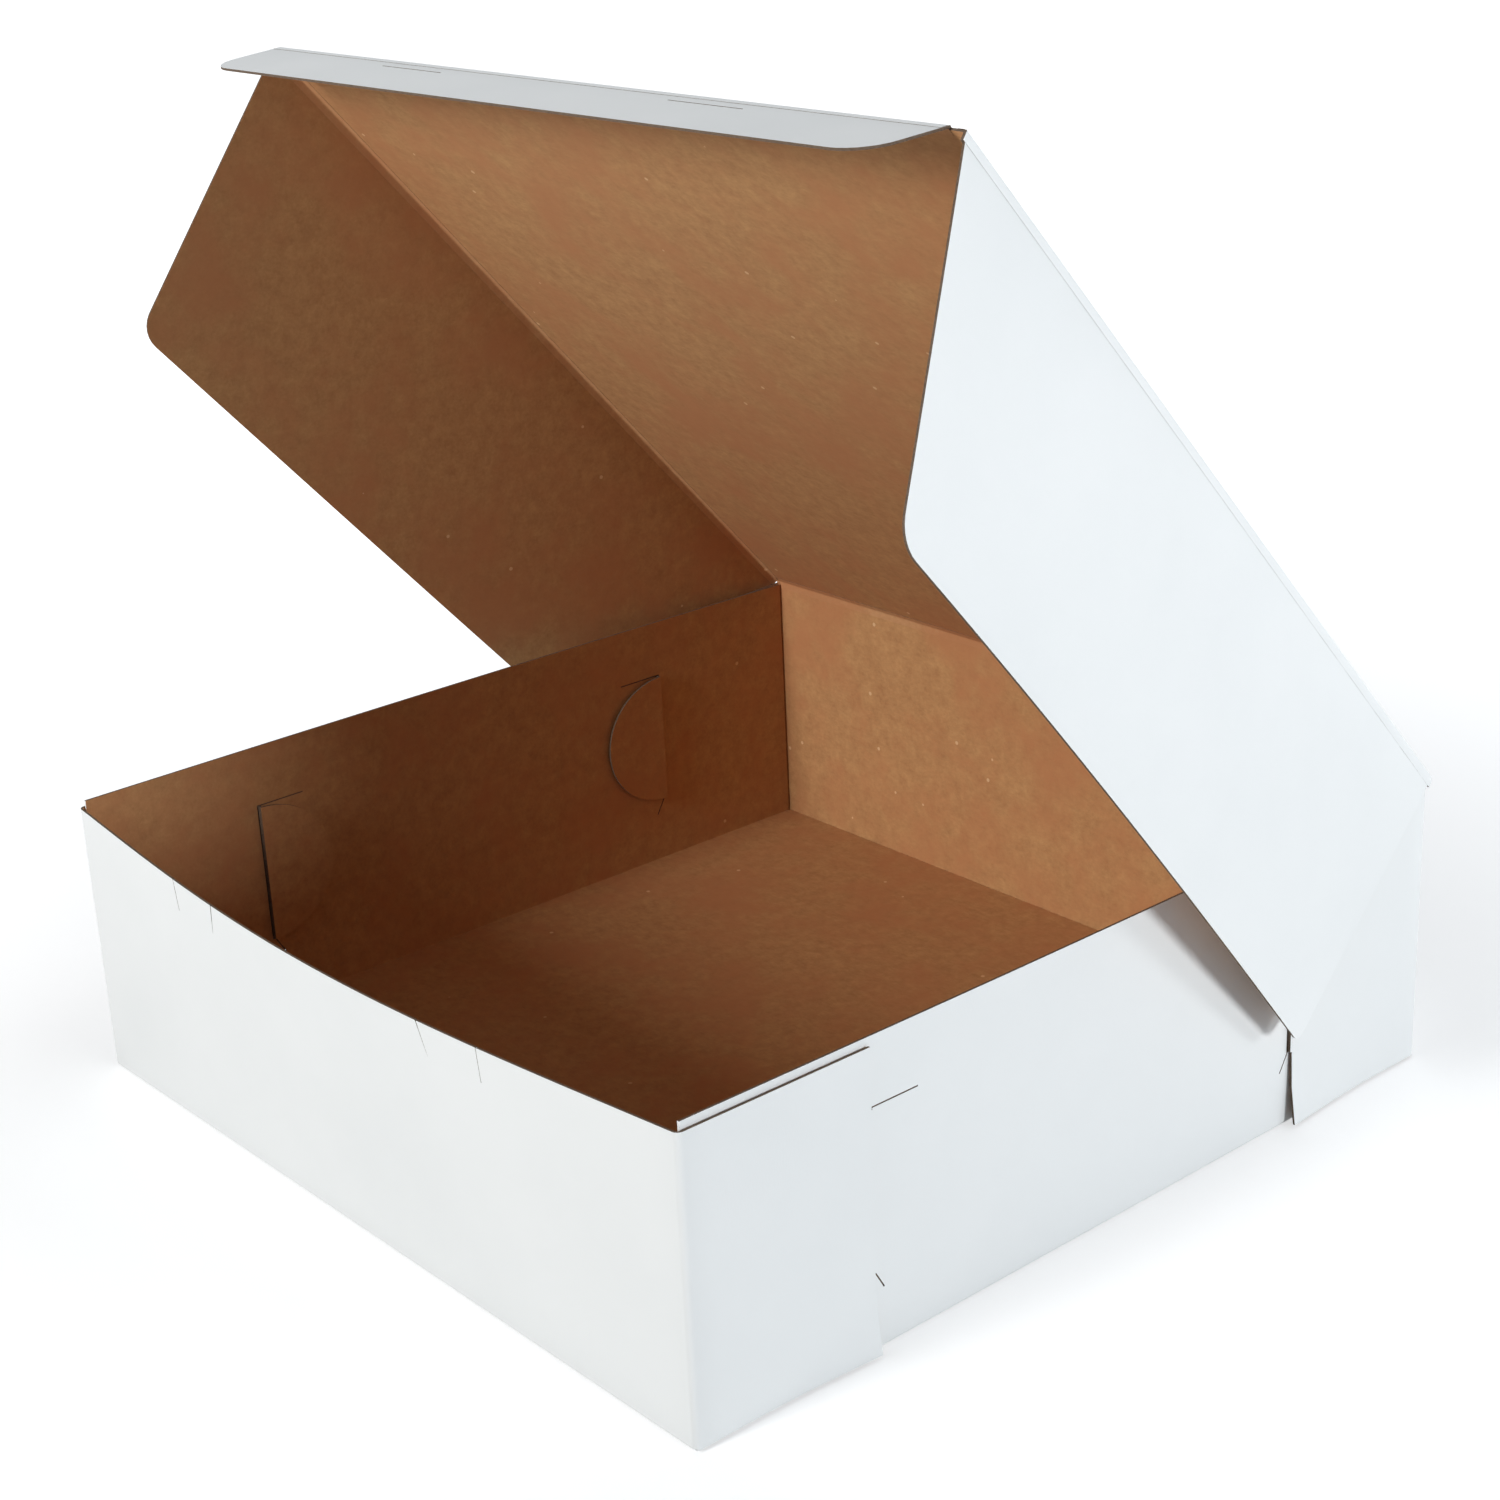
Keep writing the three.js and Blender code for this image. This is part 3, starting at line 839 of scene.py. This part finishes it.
@dataclass
class Lid:
    """The lid panel, its three flaps and the creases that join them.

    Attributes:
        splay_rear: How far the side flaps splay outwards at the hinge, in degrees.
        splay_front: The same at the front.
        splay_belly: How much more their middle splays than a straight twist.
        tuck_half: Half of the tuck crease's length.
        hinge_half: Half of the hinge crease's length.
        past_hinge: How far the side creases run on past the hinge line, clear of the tray.
    """

    splay_rear: float = 3.8
    splay_front: float = 14.2
    splay_belly: float = 2.6
    tuck_half: float = 99.4
    hinge_half: float = 102.1
    past_hinge: float = 0.2

    def panels(self) -> list[Panel]:
        """The lid's panels."""
        tuck = math.radians(LID_OPEN - TUCK_FOLD)
        tuck_outside = Vector((0, math.sin(tuck), math.cos(tuck)))
        return [
            Panel("lid_panel", "lid", "lid_board", straight(LID_OUTSIDE)),
            Panel("front_tuck_flap", "tuck_flap", "tuck_board", straight(tuck_outside)),
            Panel("left_side_flap", "left_flap", "left_flap_board", straight(Vector((-1, 0, 0)))),
            Panel("right_side_flap", "right_flap", "right_flap_board", straight(Vector((1, 0, 0)))),
        ]

    def creases(self) -> list[FoldStrip]:
        """The creases at the hinge, the tuck flap and the two side flaps."""
        inset = (BOARD / 2 + FOLD_GAP) * MM
        front = HINGE_POINT + LID_DOWN * LID_LENGTH * MM
        across = Vector((MM, 0, 0))
        side = Vector(((LID_WIDTH - BOARD) / 2 * MM, 0, 0))
        bends = (90 - self.splay_rear, 90 - self.splay_front, -self.splay_belly)
        rear_end = HINGE_POINT - LID_DOWN * self.past_hinge * MM
        front_end = front - LID_DOWN * inset
        strips = [
            FoldStrip(
                "hinge_crease",
                ("tray", "lid"),
                "lid_board",
                HINGE_POINT - across * self.hinge_half,
                HINGE_POINT + across * self.hinge_half,
                Vector((0, 0, 1)),
                Vector((0, 1, 0)),
                (90 - LID_OPEN, 90 - LID_OPEN, 0),
            ),
            FoldStrip(
                "tuck_crease",
                ("lid", "tuck_flap"),
                "tuck_board",
                front - across * self.tuck_half,
                front + across * self.tuck_half,
                LID_DOWN,
                LID_OUTSIDE,
                (TUCK_FOLD, TUCK_FOLD, 0),
            ),
        ]
        for name, sign in (("left", -1), ("right", 1)):
            strips.append(
                FoldStrip(
                    name + "_flap_crease",
                    ("lid", name + "_flap"),
                    name + "_flap_board",
                    rear_end + side * sign,
                    front_end + side * sign,
                    Vector((sign, 0, 0)),
                    LID_OUTSIDE,
                    bends,
                )
            )
        return strips

    def build(self, finishes: Finishes) -> list[bpy.types.Object]:
        """Builds the panels and creases.

        Args:
            finishes: The board's finishes.

        Returns:
            The pieces.
        """
        return [part.build(finishes) for part in (*self.panels(), *self.creases())]


# Studio.


@dataclass(frozen=True)
class Lamp:
    """A soft lamp that points at the box."""

    name: str
    azimuth: float
    elevation: float
    distance: float
    size: float
    power: float
    colour: Colour = (1.0, 1.0, 1.0)

    def build(self, target: Vector) -> bpy.types.Object:
        """Places the lamp round a target."""
        data = bpy.data.lights.new(self.name, "AREA")
        data.shape = "DISK"
        data.size = self.size
        data.energy = self.power
        data.color = self.colour
        made = bpy.data.objects.new(self.name, data)
        back = away(self.azimuth, self.elevation)
        made.location = target + back * self.distance
        made.rotation_euler = (-back).to_track_quat("-Z", "Y").to_euler()
        bpy.context.scene.collection.objects.link(made)
        return made


def away(azimuth: float, elevation: float) -> Vector:
    """The direction from the box to a viewer at an azimuth and elevation in degrees."""
    a, e = math.radians(azimuth), math.radians(elevation)
    return Vector((math.sin(a) * math.cos(e), -math.cos(a) * math.cos(e), math.sin(e)))


@dataclass(frozen=True)
class Studio:
    """The table top, the lamps, the pale surroundings and the camera.

    The camera's values were fitted to the edges of the box in the photograph.

    Attributes:
        world_light: Strength of the light from all round.
        world_colour: Its colour.
        floor_half: Half of the table top's side, in metres.
        floor_drop: How far it lies under the box.
        floor_colour: What it gives back of the lamps' light.
        glow_near: What it adds under the box, for the camera and reflections.
        glow_gain: How much more it adds far from the box.
        glow_fade: Where that rise starts and ends, from the box's middle.
        camera_place: In millimetres.
        camera_azimuth: Round from the front of the box, in degrees.
        camera_elevation: Above the table, in degrees.
        camera_roll: Round the line of sight, in degrees.
        focal_pixels: The focal length in pixels of the photograph.
        picture_pixels: The photograph's width.
        lamps: The lamps.
    """

    world_light: float = 0.12
    world_colour: Colour = (0.64, 0.82, 1.0)
    floor_half: float = 3.0
    floor_drop: float = 0.0002
    floor_colour: Colour = (0.62, 0.63, 0.64)
    glow_near: float = 0.55
    glow_gain: float = 0.50
    glow_fade: tuple[float, float] = (0.16, 0.5)
    camera_place: tuple[float, float, float] = (409.249, -342.249, 281.288)
    camera_azimuth: float = 49.823
    camera_elevation: float = 21.284
    camera_roll: float = -2.649
    focal_pixels: float = 2706.505
    picture_pixels: float = 1500.0
    lamps: tuple[Lamp, ...] = (
        Lamp("key", -3, 25, 1.6, 0.35, 11.8, (1.0, 0.975, 0.94)),
        Lamp("low_key", -4, 17, 1.6, 0.35, 8.0, (1.0, 0.975, 0.94)),
        Lamp("right_fill", 106, 4, 1.6, 0.35, 13.6, (0.975, 0.99, 1.0)),
        Lamp("rear_right_fill", 135, 3, 1.6, 0.35, 4.6, (0.975, 0.99, 1.0)),
        Lamp("rear_top", 180, 66, 1.6, 0.8, 6.0, (0.98, 0.99, 1.0)),
    )

    def build(self) -> None:
        """Builds the whole studio."""
        target = Vector((0, 0, 0.08))
        for lamp in self.lamps:
            lamp.build(target)
        self._world()
        self._floor()
        self._camera()
        bpy.context.scene.view_settings.view_transform = "Standard"

    def _world(self) -> None:
        """Even pale light, seen as pure white by the camera and in reflections."""
        world = bpy.data.worlds.new("surroundings")
        world.use_nodes = True
        nodes, links = world.node_tree.nodes, world.node_tree.links
        nodes.clear()
        path = nodes.new("ShaderNodeLightPath")
        seen = Value(world.node_tree, path.outputs["Is Camera Ray"])
        seen = seen.larger(Value(world.node_tree, path.outputs["Is Glossy Ray"]))
        seen = seen.larger(Value(world.node_tree, path.outputs["Is Transmission Ray"]))
        light = nodes.new("ShaderNodeBackground")
        light.inputs["Color"].default_value = (*self.world_colour, 1)
        light.inputs["Strength"].default_value = self.world_light
        white = nodes.new("ShaderNodeBackground")
        white.inputs["Color"].default_value = (1, 1, 1, 1)
        mix = nodes.new("ShaderNodeMixShader")
        out = nodes.new("ShaderNodeOutputWorld")
        links.new(seen.socket, mix.inputs[0])
        links.new(light.outputs[0], mix.inputs[1])
        links.new(white.outputs[0], mix.inputs[2])
        links.new(mix.outputs[0], out.inputs[0])
        bpy.context.scene.world = world

    def _floor(self) -> None:
        """A plain pale table top that keeps the box's shadow."""
        half = self.floor_half
        mesh = bpy.data.meshes.new("table_top")
        corners = [(-half, -half, 0), (half, -half, 0), (half, half, 0), (-half, half, 0)]
        mesh.from_pydata(corners, [], [(0, 1, 2, 3)])
        made = bpy.data.objects.new("table_top", mesh)
        made.location.z = -self.floor_drop
        bpy.context.scene.collection.objects.link(made)
        s = Shader.named("table_top")
        path = s.node("ShaderNodeLightPath")
        seen = s.value(path, "Is Camera Ray")
        seen = seen.larger(s.value(path, "Is Glossy Ray"))
        diffuse = s.node("ShaderNodeBsdfDiffuse", Color=self.floor_colour)
        distance = s.value(s.node("ShaderNodeVectorMath", {"operation": "LENGTH"}, Vector=s.place()), "Value")
        far = s.curve(distance, [(self.glow_fade[0], 0.0), (self.glow_fade[1], 1.0)])
        strength = seen * (far * self.glow_gain + self.glow_near)
        glow = s.node("ShaderNodeEmission", Color=(1, 1, 1), Strength=strength)
        both = s.node("ShaderNodeAddShader")
        links = s.material.node_tree.links
        links.new(diffuse.outputs[0], both.inputs[0])
        links.new(glow.outputs[0], both.inputs[1])
        mesh.materials.append(s.surface(both))

    def _camera(self) -> None:
        """The fitted camera."""
        data = bpy.data.cameras.new("camera")
        data.sensor_width = 36.0
        data.lens = self.focal_pixels / self.picture_pixels * data.sensor_width
        data.clip_start = 0.01
        data.clip_end = 50.0
        made = bpy.data.objects.new("camera", data)
        back = away(self.camera_azimuth, self.camera_elevation)
        right = (-back).cross(Vector((0, 0, 1))).normalized()
        up = right.cross(-back)
        c, s = math.cos(math.radians(self.camera_roll)), math.sin(math.radians(self.camera_roll))
        across = right * c + up * s
        upward = up * c - right * s
        turn = Matrix((across, upward, back)).transposed().to_4x4()
        made.matrix_world = Matrix.Translation(Vector(self.camera_place) * MM) @ turn
        bpy.context.scene.collection.objects.link(made)
        bpy.context.scene.camera = made


def main() -> None:
    """Builds the box and its studio, and reports each piece."""
    logging.basicConfig(level=logging.INFO, format="%(message)s")
    finishes = Finishes.make()
    pieces = [Tray().build(finishes), CutLiningsAndSlitShade().build(finishes), *Lid().build(finishes)]
    for piece in pieces:
        log.info("%s: %d faces", piece.name, len(piece.data.polygons))
    Studio().build()


if __name__ == "__main__":
    main()
